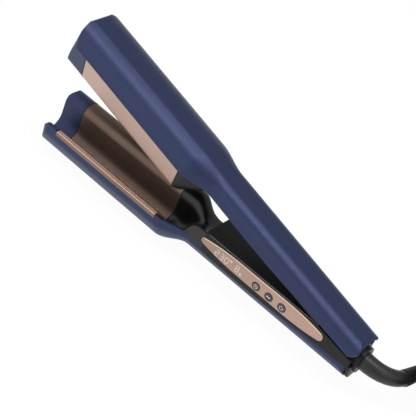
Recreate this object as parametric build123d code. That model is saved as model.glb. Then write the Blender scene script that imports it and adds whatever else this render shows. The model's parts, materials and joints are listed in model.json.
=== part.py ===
from build123d import *
from collections import namedtuple
from math import acos, atan2, cos, degrees, hypot, pi, radians, sin
import os

os.makedirs("parts", exist_ok=True)

# Hair waver: two long arms, hinged near the butt, each with a jaw whose plate is a
# standing wave. All sizes are millimetres. A "station" is the distance from the tip
# along an arm; x_at() turns it into X. The lower arm lies level, +Z is up, and the
# controls face -Y. The upper arm is drawn as a twin of the lower one and turned over.

# ---- whole tool
overall_length = 304.0
opening_angle = 15.0
hinge_height = 34.6

# ---- jaws
jaw_half_width = 24.9
jaw_near_rise = 23.5
near_core_top = 17.5
shoulder_height = 17.0
wall_top = 28.4
wall_thickness = 3.7
valley_floor = 13.0
valley_radius = 10.6
tongue_top = 42.4
tongue_radius = 8.9
tongue_offset = 9.9
plate_gap = 1.6
crease_step = 0.5
land_share = 0.24
nose_length = 19.0
nose_bulge = 5.0
nose_corner_radius = 7.0
plate_length = 105.0
plate_thickness = 1.5
gasket_length = 1.0
gasket_proud = 0.15
side_plate_angle = 60.0
trim_thickness = 0.8
trim_skirt = 3.4
trim_proud = 0.3
trim_groove = 0.35

# ---- waist and handle
waist_length = 26.0
cover_length = 300.0
usual_handle_length = 135.0
cover_wall = 2.0
handle_half_width = 15.8
handle_curve_height = 12.0
lower_handle_bottom = 10.8
lower_handle_fullness = 1.1
upper_handle_top = 53.0
upper_handle_fullness = 0.85
rim_height = 39.9
rim_rise = 3.0
band_height = 21.7
band_rise = 3.4
butt_corner_radius = 6.0
rim_corner_radius = 8.0
seam_gap = 0.1

# ---- handle housing
block_start = nose_length + plate_length + 2 * gasket_length + waist_length + 13.0
handle_stretch = (cover_length - block_start) / usual_handle_length
tail_start = cover_length - 29.5 * handle_stretch
block_top = 39.2
block_edge_radius = 1.2
ramp_station = tail_start - 5.5
ramp_angle = 11.5
lid_thickness = 2.0
lid_start = block_start + 4.0
lid_end = tail_start - 19.5
lid_ledge = 2.2
lid_half_width = handle_half_width - 1.9
cavity_wall = 2.2
relief_height = 26.4
tail_radius = 11.5
ring_thickness = 4.0

# ---- hinge
hinge_station = tail_start - 10.5
pin_radius = 2.0
pin_half_length = handle_half_width - 1.8
pin_clearance = 0.05
ear_thickness = 4.0
ear_centre = 8.7
ear_radius = 4.6
washer_thickness = 0.45
washer_radius = 3.8
pocket_half_length = 8.0
pocket_floor = 28.5
spring_wire_radius = 0.7
spring_radius = 3.3
spring_turns = 4
spring_leg_length = 7.0

# ---- controls
panel_left = block_start - 1.5
panel_right = tail_start + 5.5
panel_middle_height = 31.1
panel_centre_height = 31.75
panel_half_height = 6.1
panel_shoulder_half_height = 4.95
panel_left_half_height = 2.6
panel_right_half_height = 3.3
panel_left_shoulder = 16.5
panel_right_shoulder = 11.0
panel_tip = 1.8
panel_thickness = 1.2
panel_proud = 0.4
button_pitch = 11.9
first_button_station = lid_end - 10.9 - 2 * button_pitch
button_height = 29.9
button_radius = 3.5
button_gap = 0.15
button_proud = 0.35
button_travel = 0.4
flange_radius = 4.4
flange_thickness = 0.8
stem_radius = 1.4
stem_length = 0.8
switch_size = 4.5
switch_body_height = 3.0
plunger_radius = 1.7
plunger_height = 0.5
board_thickness = 1.6
board_start = block_start + 11.0
board_end = lid_end - 2.6
board_low = 25.2
board_high = 35.8
display_start = block_start + 8.0
display_end = first_button_station - 11.3
display_half_height = 4.6
post_radius = 1.6
board_screw_radius = 0.8
board_screw_head_radius = 1.6
board_screw_head_height = 1.2

# ---- heating
heater_width = 11.5
heater_thickness = 3.5
heater_start = nose_length + gasket_length + 10.0
heater_end = heater_start + plate_length - 21.0
heater_bottom = 23.4
spreader_half_width = 6.4
spreader_gap = 0.1
carrier_top = 26.0
carrier_pocket_floor = 16.8
carrier_spigot = 7.5
carrier_gap = 0.25
clip_width = 8.0
clip_thickness = 0.6
clip_waves = 3
clip_flat = 3.0
sensor_radius = 1.5
sensor_length = 5.0
sensor_station = heater_end + 1.0
sensor_offset = 13.0
lead_radius = 0.9
lead_spread = 2.0
lead_height = 24.6
lead_centre = 6.6
upper_lead_slope = 0.3

# ---- screws
screw_head_radius = 2.6
screw_head_height = 1.8
screw_shank_radius = 1.3
screw_well_gap = 0.4
neck_screw_station = block_start - 16.0
neck_screw_offset = -11.5
neck_screw_seat = 22.0
neck_screw_length = 3.8
liner_screw_stations = (block_start + 15.0, hinge_station - 24.0)
liner_boss_radius = 3.4

# ---- strain relief, cord and plug
relief_length = 60.0
relief_root_radius = 7.0
relief_end_radius = 4.3
relief_lead_in = 3.0
relief_bend_radius = 24.0
relief_bend_angle = 80.0
relief_slope = 0.2
relief_level_length = 12.0
relief_rib_start = 34.0
relief_rib_pitch = 2.4
relief_rib_width = 1.1
relief_rib_height = 0.6
cord_radius = 3.25
cord_rest = cord_radius + 0.1
route_step = 13.0
route_turn = 18.0
route_last_step = 28.0
coil_outer_turn = 41.5
coil_turns_per_layer = 1.25
coil_rise_turns = 0.4
coil_layers = 4
coil_layer_height = 6.15
coil_inner_turn = coil_outer_turn - 2 * cord_radius * coil_turns_per_layer
coil_mean_radius = (coil_outer_turn + coil_inner_turn) / 2
coil_width = coil_outer_turn - coil_inner_turn + 2 * cord_radius
coil_height = cord_rest + coil_layer_height * (coil_layers - 1) + cord_radius
lead_slope = -0.3
tail_slope = 0.14
tie_width = 9.0
tie_thickness = 0.8
plug_length = 34.0
plug_half_width = 13.0
plug_half_height = 7.0
plug_pin_radius = 2.0
plug_pin_length = 19.0
plug_pin_spacing = 19.0

closed_height = tongue_top + valley_floor + plate_gap
plate_start = nose_length + gasket_length
plate_end = plate_start + plate_length
waist_start = plate_end + gasket_length
waist_end = waist_start + waist_length
inner_wall = jaw_half_width - wall_thickness
handle_face = -handle_half_width
panel_back = handle_face - panel_proud + panel_thickness
tall = 60.0
wide = 30.0

handle_land = land_share * handle_half_width

Section = namedtuple("Section", "half_width bottom far_rise near_rise far_land near_land fullness")
jaw_section = Section(
    jaw_half_width, 0.0, shoulder_height, jaw_near_rise, land_share * jaw_half_width, 0.0, 1.0
)
lower_handle = Section(
    handle_half_width, lower_handle_bottom, handle_curve_height, handle_curve_height,
    handle_land, handle_land, lower_handle_fullness,
)
upper_handle = Section(
    handle_half_width, closed_height - upper_handle_top, handle_curve_height, handle_curve_height,
    handle_land, handle_land, upper_handle_fullness,
)


# ---------------------------------------------------------------- places and small helpers
def x_at(station):
    """X of a station: the frame's origin lies half way along the tool."""
    return station - overall_length / 2


def section_plane(station):
    """A plane across the arm: its own x is +Y and its own y is +Z."""
    return Plane(origin=(x_at(station), 0, 0), x_dir=(0, 1, 0), z_dir=(1, 0, 0))


def side_plane(y):
    """A plane along the arm seen from the controls' side: own x is +X, own y is +Z."""
    return Plane(origin=(0, y, 0), x_dir=(1, 0, 0), z_dir=(0, -1, 0))


def face_of(edges):
    return Face(Wire(edges))


def across(face, start, end):
    """Extrudes a cross-section along the arm between two stations."""
    return extrude(section_plane(start) * face, amount=end - start, dir=(1, 0, 0))


def sideways(face, y_low, y_high):
    """Extrudes a side view across the arm."""
    return extrude(side_plane(y_low) * face, amount=y_high - y_low, dir=(0, 1, 0))


def upright(face, z_low, z_high):
    """Extrudes a plan view upwards."""
    return extrude(Pos(0, 0, z_low) * face, amount=z_high - z_low, dir=(0, 0, 1))


def block_between(start, end, y_low, y_high, z_low, z_high):
    """A plain block given by its limits: stations, then Y, then Z."""
    size = (end - start, y_high - y_low, z_high - z_low)
    centre = (x_at((start + end) / 2), (y_low + y_high) / 2, (z_low + z_high) / 2)
    return Pos(*centre) * Box(*size)


def rod(station, y, z, radius, length, direction):
    """A cylinder that starts at a point and runs in a direction."""
    base = Plane(origin=(x_at(station), y, z), z_dir=direction)
    return base * Cylinder(radius, length, align=(Align.CENTER, Align.CENTER, Align.MIN))


def polar(centre, radius, angle):
    """A point at a distance and an angle from a centre."""
    return (centre[0] + radius * cos(radians(angle)), centre[1] + radius * sin(radians(angle)))


def arc(centre, radius, start, end):
    middle = polar(centre, radius, (start + end) / 2)
    return ThreePointArc(polar(centre, radius, start), middle, polar(centre, radius, end))


def smooth(t):
    """Rises from 0 to 1 without a corner at either end."""
    t = min(max(t, 0.0), 1.0)
    return t * t * (3 - 2 * t)


def mix(a, b, t):
    """The value that lies a share of the way from one number to another."""
    return a + (b - a) * t


def turned_over(part):
    """Turns a piece drawn on the lower arm over onto the upper arm, then opens the arm."""
    closed = part.rotate(Axis((0, 0, closed_height / 2), (1, 0, 0)), 180)
    hinge = Axis((x_at(hinge_station), 0, hinge_height), (0, 1, 0))
    return closed.rotate(hinge, opening_angle)


# ---------------------------------------------------------------- the standing wave
valley_centre = (valley_radius - inner_wall, valley_floor + valley_radius)
tongue_centre = (tongue_offset, tongue_top - tongue_radius)
shoulder = (jaw_half_width - crease_step, shoulder_height)


def cross_angle():
    """Direction in which the valley's circle meets the line that rises to the tongue."""
    dy = tongue_centre[0] - valley_centre[0]
    dz = tongue_centre[1] - valley_centre[1]
    lean = degrees(acos((valley_radius + tongue_radius) / hypot(dy, dz)))
    return degrees(atan2(dz, dy)) - lean


def flank_angle():
    """Direction in which the tongue's circle meets its outer flank."""
    dy = shoulder[0] - tongue_centre[0]
    dz = shoulder[1] - tongue_centre[1]
    return degrees(atan2(dz, dy)) + degrees(acos(tongue_radius / hypot(dy, dz)))


def valley_edges(depth, start_angle=180.0):
    """The valley's arc and the rise beside it, at a depth under the plate's face."""
    turn = cross_angle()
    low = arc(valley_centre, valley_radius + depth, start_angle, 360 + turn)
    rise = Line(low @ 1, polar(tongue_centre, tongue_radius - depth, turn + 180))
    return [low, rise]


def tongue_edges(depth, start_angle, end_angle):
    return [arc(tongue_centre, tongue_radius - depth, start_angle, end_angle)]


def flank_edges(depth):
    lean = flank_angle()
    foot = polar(shoulder, -depth, lean)
    return [Line(polar(tongue_centre, tongue_radius - depth, lean), foot)]


def wall_edges(depth, top):
    side = -inner_wall - depth
    return [Line((side, top), (side, valley_centre[1]))]


def strip_face(front, back):
    """Closes two parallel runs of edges into one face."""
    ends = [Line(front[0] @ 0, back[0] @ 0), Line(front[-1] @ 1, back[-1] @ 1)]
    return face_of(front + back + ends)


def wave_face(depth, thickness):
    """Cross-section of a layer that follows the wave."""
    top = wall_top - trim_thickness
    runs = []
    for d in (depth, depth + thickness):
        over = tongue_edges(d, cross_angle() + 180, side_plate_angle)
        runs.append(wall_edges(d, top) + valley_edges(d) + over)
    return strip_face(*runs)


def side_face(depth, thickness):
    """Cross-section of a layer that follows the tongue's flank."""
    runs = []
    for d in (depth, depth + thickness):
        runs.append(tongue_edges(d, side_plate_angle, flank_angle()) + flank_edges(d))
    return strip_face(*runs)


# ---------------------------------------------------------------- shells
def corner_points(section, inset, rise, land):
    """Points down one rounded lower corner of an arm, from its upright side to its flat bottom."""
    half = section.half_width - inset
    points = []
    for angle in (0, 15, 35, 55, 75, 90):
        c = cos(radians(angle)) if angle < 90 else 0.0
        s = sin(radians(angle))
        y = land + (half - land) * c**section.fullness
        points.append((y, section.bottom + inset + (rise - inset) * (1 - s**section.fullness)))
    return points


def shell_edges(section, inset):
    """The rounded underside of an arm, from its far side to its near side."""
    far_points = corner_points(section, inset, section.far_rise, section.far_land)
    near_points = corner_points(section, inset, section.near_rise, section.near_land)
    far = Spline(far_points, tangents=[(0, -1), (-1, 0)])
    near = Spline([(-y, z) for y, z in reversed(near_points)], tangents=[(-1, 0), (0, 1)])
    return [far, Line(far @ 1, near @ 0), near]


def shell_face(section, inset, top):
    """Cross-section of a shell, moved inwards and cut off at a height."""
    curve = shell_edges(section, inset)
    high_far = ((curve[0] @ 0).X, top)
    high_near = ((curve[-1] @ 1).X, top)
    sides = [Line(curve[0] @ 0, high_far), Line(high_far, high_near), Line(high_near, curve[-1] @ 1)]
    return face_of(curve + sides)


def section_at(handle, station):
    t = smooth((station - waist_start) / waist_length)
    return Section(*[mix(a, b, t) for a, b in zip(jaw_section, handle)])


def blank(handle, inset, start, end, top):
    """The filled outline of an arm: straight jaw, lofted waist, straight handle."""
    body = None
    spans = []
    if start < waist_start:
        spans.append(across(shell_face(jaw_section, inset, top), start, waist_start))
    if start < waist_end:
        steps = 6
        sections = []
        for i in range(steps + 1):
            station = waist_start + waist_length * i / steps
            face = shell_face(section_at(handle, station), inset, top)
            sections.append(section_plane(station) * face)
        spans.append(loft(sections))
    if end > waist_end:
        spans.append(across(shell_face(handle, inset, top), max(start, waist_end), end))
    for span in spans:
        body = span if body is None else body + span
    return body


def edge_points(low_start, low_end, rise, drop_at):
    """Height of a cover's free edge along the handle."""
    return [
        (waist_start, low_start),
        (mix(waist_start, drop_at, 0.55), mix(low_start, low_end, 0.4)),
        (drop_at, low_end),
        (mix(drop_at, cover_length, 0.5), low_end + 0.1 * rise),
        (cover_length + 1, low_end + rise),
    ]


def under_edge(points, y_low, y_high, lift, above=False):
    """Everything below (or above) a cover's free edge, on one side of the arm."""
    start = (x_at(nose_length), points[0][1] + lift)
    curve_points = [(x_at(s), z + lift) for s, z in points]
    straight = Line(start, curve_points[0])
    curve = Spline(curve_points, tangents=[(1, 0), (1, 0.03)])
    far_z = tall if above else -5
    last = (curve @ 1).X
    sides = [
        Line(curve @ 1, (last, far_z)),
        Line((last, far_z), (start[0], far_z)),
        Line((start[0], far_z), start),
    ]
    return sideways(face_of([straight, curve] + sides), y_low, y_high)


lower_near_edge = edge_points(wall_top - trim_thickness, band_height, band_rise, block_start + 6)
lower_far_edge = edge_points(shoulder_height, band_height, band_rise, block_start + 6)
rim = closed_height - rim_height
upper_wall_edge = edge_points(wall_top - trim_thickness, rim, -rim_rise, waist_end)
upper_far_edge = edge_points(shoulder_height, rim, -rim_rise, waist_end)


def keep_under(edges):
    return under_edge(edges[0], -wide, 0, 0) + under_edge(edges[1], 0, wide, 0)


def keep_over(edges):
    near = under_edge(edges[0], -wide, 0, seam_gap, above=True)
    return near + under_edge(edges[1], 0, wide, seam_gap, above=True)


def plan_outline(front, back, half, front_radius, back_radius):
    """Plan view of an arm with a bowed front and rounded corners."""
    edge = x_at(front + nose_bulge)
    bow = ThreePointArc((edge, -half), (x_at(front), 0), (edge, half))
    lines = [
        Line(bow @ 1, (x_at(back), half)),
        Line((x_at(back), half), (x_at(back), -half)),
        Line((x_at(back), -half), bow @ 0),
    ]
    outline = make_face([bow] + lines)
    if front_radius:
        outline = fillet(outline.vertices().sort_by(Axis.X)[:2], front_radius)
    if back_radius:
        outline = fillet(outline.vertices().sort_by(Axis.X)[-2:], back_radius)
    return outline


def rounding_cutter(station, z, radius, along, up, y_low, y_high):
    """What is cut away to round one corner of a side view."""
    corner = (x_at(station), z)
    centre = (corner[0] - along * radius, corner[1] - up * radius)
    first = (corner[0], centre[1])
    last = (centre[0], corner[1])
    middle = (centre[0] + along * radius * cos(pi / 4), centre[1] + up * radius * sin(pi / 4))
    out = (corner[0] + along, corner[1] + up)
    edges = [
        ThreePointArc(first, middle, last),
        Line(last, (last[0], out[1])),
        Line((last[0], out[1]), out),
        Line(out, (out[0], first[1])),
        Line((out[0], first[1]), first),
    ]
    return sideways(face_of(edges), y_low, y_high)


def jaw_core_face(gap):
    """Room between a cover's inside and the back of its plates."""
    depth = plate_thickness + gap
    inset = cover_wall + gap
    low = valley_edges(depth)
    over = tongue_edges(depth, cross_angle() + 180, flank_angle())
    curve = shell_edges(jaw_section, inset)
    flank = flank_edges(depth)[0]
    flank = Line(flank @ 0, flank @ 0.9)
    top = low + over + [flank]
    ends = [Line(top[-1] @ 1, curve[0] @ 0), Line(curve[-1] @ 1, top[0] @ 0)]
    thin_edge = Pos(-wide, near_core_top + wide / 2) * Rectangle(wide, wide)
    return face_of(top + curve + ends) - thin_edge


def nose_keep():
    """Everything under the wave's face in the closed tip of a cover."""
    wall = wall_edges(0, wall_top)
    top = wall + valley_edges(0) + tongue_edges(0, cross_angle() + 180, flank_angle()) + flank_edges(0)
    ends = [
        Line(top[-1] @ 1, (wide, shoulder_height)),
        Line((wide, shoulder_height), (wide, -5)),
        Line((wide, -5), (-wide, -5)),
        Line((-wide, -5), (-wide, wall_top)),
        Line((-wide, wall_top), wall[0] @ 0),
    ]
    body = across(face_of(top + ends), -1, nose_length)
    wall_tip = nose_bulge + 0.5
    wall_side = -inner_wall + 0.4
    body = body - rounding_cutter(wall_tip, wall_top, 5.0, -1, 1, -wide - 1, wall_side)
    body = body - block_between(-2, wall_tip, -wide - 1, wall_side, wall_top - 5, tall)
    return body - rounding_cutter(0.4, tongue_top, 2.5, -1, 1, 0, wide)


def arm_cover(handle, edges):
    """An arm's blue outer shell with its closed tip."""
    body = blank(handle, 0, 0, cover_length, tall - 10) & (nose_keep() + keep_under(edges))
    body = body & upright(plan_outline(0, cover_length + 1, jaw_half_width, nose_corner_radius, 0), -1, tall)
    body = body - rounding_cutter(0.4, 0, 3.5, -1, -1, -wide, wide)
    butt = plan_outline(0, cover_length, handle_half_width, 0, butt_corner_radius)
    butt = butt + Pos(x_at(waist_end / 2), 0) * Rectangle(waist_end, 2 * wide)
    body = body & upright(butt, -1, tall)
    body = body - rounding_cutter(cover_length, handle.bottom, butt_corner_radius, 1, -1, -wide, wide)
    pocket = across(jaw_core_face(seam_gap), nose_length - 8, nose_length + 1)
    return body - blank(handle, cover_wall, nose_length, cover_length + 1, tall - 9) - pocket


# ---------------------------------------------------------------- jaw pieces, drawn on the lower arm
def wave_plate():
    """The dark plate that presses the hair into waves."""
    return across(wave_face(0, plate_thickness), plate_start, plate_end)


def above_shoulder(body):
    """The flank's foot is cut level where it stands on the cover's edge."""
    return body & block_between(0, waist_start + 1, -wide, wide, shoulder_height, tall)


def side_plate():
    """The rose-gold plate on the tongue's flank."""
    return above_shoulder(across(side_face(0, plate_thickness), plate_start, plate_end))


def edge_trim():
    """A folded lip over the thin wall's top, with two grooves along it."""
    outer = -jaw_half_width - trim_proud
    low = wall_top - trim_skirt
    seat = wall_top - trim_thickness
    inner = -inner_wall
    profile = Polyline(
        (inner, seat), (inner, wall_top - 0.25), (inner - 0.25, wall_top),
        (outer + 0.6, wall_top), (outer, wall_top - 0.6), (outer, low),
        (-jaw_half_width, low), (-jaw_half_width, seat), (inner, seat),
    )
    body = across(make_face(profile), plate_start, plate_end)
    for share in (0.36, 0.68):
        y = mix(inner, outer, share)
        groove = block_between(
            plate_start - 1, plate_end + 1, y - trim_groove / 2, y + trim_groove / 2,
            wall_top - trim_groove, wall_top + 1,
        )
        body = body - groove
    return body


def plate_gaskets():
    """Thin black rings of silicone before and behind the plates."""
    thick = plate_thickness + gasket_proud
    rings = []
    for start in (nose_length, plate_end):
        for face in (wave_face(-gasket_proud, thick), side_face(-gasket_proud, thick)):
            rings.append(across(face, start, start + gasket_length))
    rings[1], rings[3] = above_shoulder(rings[1]), above_shoulder(rings[3])
    return [rings[0] + rings[1], rings[2] + rings[3]]


def plate_carrier():
    """Heat-resistant frame that holds the plates off the cover."""
    face = jaw_core_face(carrier_gap)
    body = across(face, nose_length - carrier_spigot, waist_start)
    body = body - block_between(nose_length - 9, waist_start + 1, 0.5, wide, carrier_top, tall)
    half = heater_width / 2 + 0.6
    pocket = block_between(
        heater_start - 6, waist_start - 3, tongue_offset - half, tongue_offset + half,
        carrier_pocket_floor, carrier_top + 1,
    )
    channels = lead_channel(waist_start - 4, waist_start + 1) \
        + lead_channel(waist_start - 4, waist_start + 1, upper_lead_slope)
    return body - pocket - channels


def heat_spreader():
    """Aluminium bar that fills the tongue behind its plate."""
    radius = tongue_radius - plate_thickness - spreader_gap
    low = heater_bottom + heater_thickness
    disc = Pos(*tongue_centre) * Circle(radius)
    stem = Pos(tongue_offset, mix(low, tongue_centre[1], 0.5)) * Rectangle(
        2 * spreader_half_width, tongue_centre[1] - low
    )
    face = (disc & (Pos(tongue_offset, tongue_centre[1] + radius / 2) * Rectangle(2 * radius, radius))) + stem
    return across(face, heater_start - 5, heater_end + 6)


def heater_bar():
    """Flat ceramic bar that warms the spreader."""
    half = heater_width / 2
    top = heater_bottom + heater_thickness
    return block_between(
        heater_start, heater_end, tongue_offset - half, tongue_offset + half, heater_bottom, top
    )


def heater_spring():
    """Waved leaf spring that presses the heater against the spreader."""
    low = carrier_pocket_floor + clip_thickness / 2
    high = heater_bottom - clip_thickness / 2
    count = 2 * clip_waves
    start, end = heater_start + 8, heater_end - 8
    runs = []
    for lift in (-clip_thickness / 2, clip_thickness / 2):
        points = []
        for i in range(count + 1):
            middle = mix(start, end, i / count)
            height = (high if i % 2 else low) + lift
            points.append((x_at(middle - clip_flat / 2), height))
            points.append((x_at(middle + clip_flat / 2), height))
        runs.append(points)
    outline = make_face(Polyline(*runs[0], *reversed(runs[1]), runs[0][0]))
    half = clip_width / 2
    return sideways(outline, tongue_offset - half, tongue_offset + half)


def thermal_sensor():
    """Small bead that tells the board how warm the plate is."""
    top = heater_bottom + heater_thickness
    return rod(sensor_station, sensor_offset, top - sensor_radius, sensor_radius, sensor_length, (1, 0, 0))


def lead_level(station, slope):
    return lead_height - slope * (station - heater_end)


def lead_channel(start, end, slope=0.0):
    """Slot for a pair of wires that run level or sink towards the handle."""
    half = lead_spread + lead_radius + 0.6
    room = lead_radius + 0.6
    low_start, low_end = lead_level(start, slope), lead_level(end, slope)
    outline = make_face(Polyline(
        (x_at(start), low_start - room), (x_at(end), low_end - room),
        (x_at(end), low_end + room), (x_at(start), low_start + room),
        (x_at(start), low_start - room),
    ))
    return sideways(outline, lead_centre - half, lead_centre + half)


def heater_leads(end, slope=0.0):
    """Two insulated wires from the heater's end towards the handle."""
    wires = []
    length = (end - heater_end) * hypot(1, slope)
    for side in (-1, 1):
        y = lead_centre + side * lead_spread
        wires.append(rod(heater_end + 0.2, y, lead_height, lead_radius, length, (1, 0, -slope)))
    return wires


# ---------------------------------------------------------------- black housings
def wave_outline_points():
    """Fourteen points down the wall, along the valley and over the tongue."""
    turn = cross_angle()
    points = [(-inner_wall - 1.6, wall_top - 0.5), (-inner_wall - 0.3, wall_top - 3)]
    for angle in (190, 225, 270, 315):
        points.append(polar(valley_centre, valley_radius, angle))
    points.append(polar(valley_centre, valley_radius, 360 + turn))
    points.append(polar(tongue_centre, tongue_radius, 180 + turn))
    for angle in (140, 90, 50, flank_angle()):
        points.append(polar(tongue_centre, tongue_radius, angle))
    lean = flank_angle()
    high = polar(tongue_centre, tongue_radius, lean)
    points.append((mix(high[0], shoulder[0], 0.5), mix(high[1], shoulder[1], 0.5)))
    points.append(shoulder)
    return points


def height_body(first, last, stations, share):
    """A solid under a surface that blends one outline into another along the arm."""
    sections = []
    for station in stations:
        t = share(station)
        points = [(mix(a[0], b[0], t), mix(a[1], b[1], t)) for a, b in zip(first, last)]
        top = Spline(points)
        low = -5.0
        left = (-wide, points[0][1])
        right = (wide, points[-1][1])
        edges = [
            Line(left, top @ 0), top, Line(top @ 1, right), Line(right, (wide, low)),
            Line((wide, low), (-wide, low)), Line((-wide, low), left),
        ]
        sections.append(section_plane(station) * face_of(edges))
    return loft(sections)


def housing_blank(handle, edges, start, end, top):
    """Fills a cover, and stands flush with its outside above its free edge."""
    inside = blank(handle, cover_wall + seam_gap, start, end, top)
    flush = blank(handle, 0, start, end, top) & keep_over(edges)
    cut = block_between(start, end, -wide, wide, -5, tall)
    return (inside + flush) & cut


neck_end_outline = [
    (-14.6, 38.0), (-13.9, 37.0), (-13.0, 35.8), (-11.4, 34.4), (-9.0, 33.2), (-6.0, 32.4),
    (-3.0, 32.0), (0.0, 31.8), (3.0, 31.7), (6.0, 31.6), (9.0, 31.4), (11.5, 30.9),
    (13.3, 29.8), (14.8, 27.5),
]


def neck():
    """Glossy funnel that carries the wave down into the handle's front."""
    edges = (lower_near_edge, lower_far_edge)
    body = housing_blank(lower_handle, edges, waist_start, block_start, tall - 10)
    stations = [waist_start + run for run in (-1, 6, 12, 17, 22, 27, 32)] + [block_start + 1]
    cover = height_body(
        wave_outline_points(), neck_end_outline, stations,
        lambda s: smooth((s - waist_start - 11) / 22),
    )
    body = body & cover
    beside = block_between(waist_start, block_start, 0, wide, wall_top + 0.4, tall)
    body = body - (beside - blank(lower_handle, wall_thickness + 0.65, waist_start, block_start, tall + 1))
    body = body - sideways(panel_outline(0.1), -wide, panel_back)
    well = rod(neck_screw_station, neck_screw_offset, neck_screw_seat,
               screw_head_radius + screw_well_gap, tall, (0, 0, 1))
    hole = rod(neck_screw_station, neck_screw_offset, 0, screw_shank_radius, tall, (0, 0, 1))
    return body - well - hole - lead_channel(waist_start - 1, block_start + 1)


def neck_screw():
    """Slotted screw that holds the neck down."""
    head = rod(neck_screw_station, neck_screw_offset, neck_screw_seat,
               screw_head_radius, screw_head_height, (0, 0, 1))
    low = neck_screw_seat - neck_screw_length
    shank = rod(neck_screw_station, neck_screw_offset, low,
                screw_shank_radius, neck_screw_seat - low, (0, 0, 1))
    slot = block_between(
        neck_screw_station - 2, neck_screw_station + 2, neck_screw_offset - 0.4,
        neck_screw_offset + 0.4, neck_screw_seat + screw_head_height - 0.8, tall,
    )
    return head + shank - slot


def panel_outline(grow):
    """Leaf shape of the control panel, in a side view: fullest in the middle, narrow at the tips."""
    middle = panel_centre_height
    left, right = x_at(panel_left) - grow, x_at(panel_right) + grow
    stations = [
        (left + panel_tip, panel_left_half_height),
        (left + panel_left_shoulder, panel_shoulder_half_height),
        ((left + right) / 2, panel_half_height),
        (right - panel_right_shoulder, panel_shoulder_half_height),
        (right - panel_tip, panel_right_half_height),
    ]
    top = Spline([(x, middle + half + grow) for x, half in stations])
    low = Spline([(x, middle - half - grow) for x, half in stations])
    left_end = ThreePointArc(top @ 0, (left, middle), low @ 0)
    right_end = ThreePointArc(top @ 1, (right, middle), low @ 1)
    return make_face([top, low, left_end, right_end])


def button_stations():
    """Where the three buttons stand along the arm."""
    return [first_button_station + i * button_pitch for i in range(3)]


def display_window(grow, y_low, y_high):
    """The opening that the display looks through, or the display itself."""
    return block_between(
        display_start - grow, display_end + grow, y_low, y_high,
        panel_middle_height - display_half_height - grow, panel_middle_height + display_half_height + grow,
    )


def board_back():
    """The face of the circuit board that looks at the controls."""
    return panel_back + 0.1 + flange_thickness + stem_length + button_travel + 0.05 \
        + plunger_height + switch_body_height


def board_post_stations():
    """Where the two posts carry the circuit board."""
    return (display_end + 4.0, board_end - post_radius)


def housing_outside():
    """The housing's outer form: a length of the handle with a sloped rear and a round tail."""
    face = shell_face(lower_handle, 0, block_top)
    face = fillet(Sketch(face.wrapped).vertices().sort_by(Axis.Y)[-2:], block_edge_radius)
    body = housing_blank(
        lower_handle, (lower_near_edge, lower_far_edge), block_start, cover_length, block_top
    )
    body = body & across(face, block_start, cover_length)
    fall = (cover_length + 2 - ramp_station) * sin(radians(ramp_angle)) / cos(radians(ramp_angle))
    ramp = make_face(Polyline(
        (x_at(ramp_station), block_top), (x_at(cover_length + 2), block_top - fall),
        (x_at(cover_length + 2), tall), (x_at(ramp_station), tall), (x_at(ramp_station), block_top),
    ))
    body = body - sideways(ramp, -wide, wide)
    tail_length = cover_length - tail_start
    return body + rod(tail_start, 0, relief_height, tail_radius, tail_length, (1, 0, 0))


def electronics_trough():
    """What is cut away for the electronics and for the lid that closes them in."""
    deep = shell_face(lower_handle, cover_wall + seam_gap + cavity_wall, block_top + 1)
    high = block_between(
        lid_start + lid_ledge, lid_end - lid_ledge, -handle_half_width + 2.7, handle_half_width - 2.7,
        board_low - 1.2, block_top + 1,
    )
    lid_seat = block_between(
        lid_start, lid_end, -lid_half_width, lid_half_width, block_top - lid_thickness, tall
    )
    return [across(deep, lid_start + lid_ledge, lid_end - lid_ledge), high, lid_seat]


def control_holes():
    """What is cut away for the panel, the buttons' flanges and the display."""
    cuts = [sideways(panel_outline(0.1), -wide, panel_back)]
    for station in button_stations():
        hole = flange_radius + button_gap + 0.1
        cuts.append(rod(station, -wide, button_height, hole, wide - 9, (0, 1, 0)))
    cuts.append(display_window(0.2, -wide, -9))
    return cuts


def handle_housing():
    """Black handle body: open trough for the electronics, hinge pocket and round tail."""
    body = housing_outside()
    for cut in electronics_trough() + control_holes():
        body = body - cut
    for station in board_post_stations():
        start = handle_face + 2.0
        body = body + rod(station, start, panel_middle_height - 0.6, post_radius,
                          board_back() - start, (0, 1, 0))
    pocket = block_between(
        hinge_station - pocket_half_length, hinge_station + pocket_half_length,
        -ear_centre - ear_thickness / 2 - washer_thickness - 0.1,
        ear_centre + ear_thickness / 2 + washer_thickness + 0.1, pocket_floor, tall,
    )
    body = body - pocket - hinge_rod(pin_radius)
    leads = lead_channel(block_start - 1, lid_start + 4)
    entry = rod(lid_end - 4, 0, relief_height - 6, 2.0, cover_length, (1, 0, 0))
    return body - leads - entry


def hinge_rod(radius):
    """A cylinder on the hinge's axis."""
    return rod(hinge_station, -pin_half_length, hinge_height, radius, 2 * pin_half_length, (0, 1, 0))


def hinge_washers():
    """Thin washers outside the ears."""
    rings = []
    for side in (-1, 1):
        y = side * (ear_centre + ear_thickness / 2 + washer_thickness / 2 + 0.05) - washer_thickness / 2
        ring = rod(hinge_station, y, hinge_height, washer_radius, washer_thickness, (0, 1, 0))
        rings.append(ring - hinge_rod(pin_radius + 0.02))
    return rings


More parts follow.
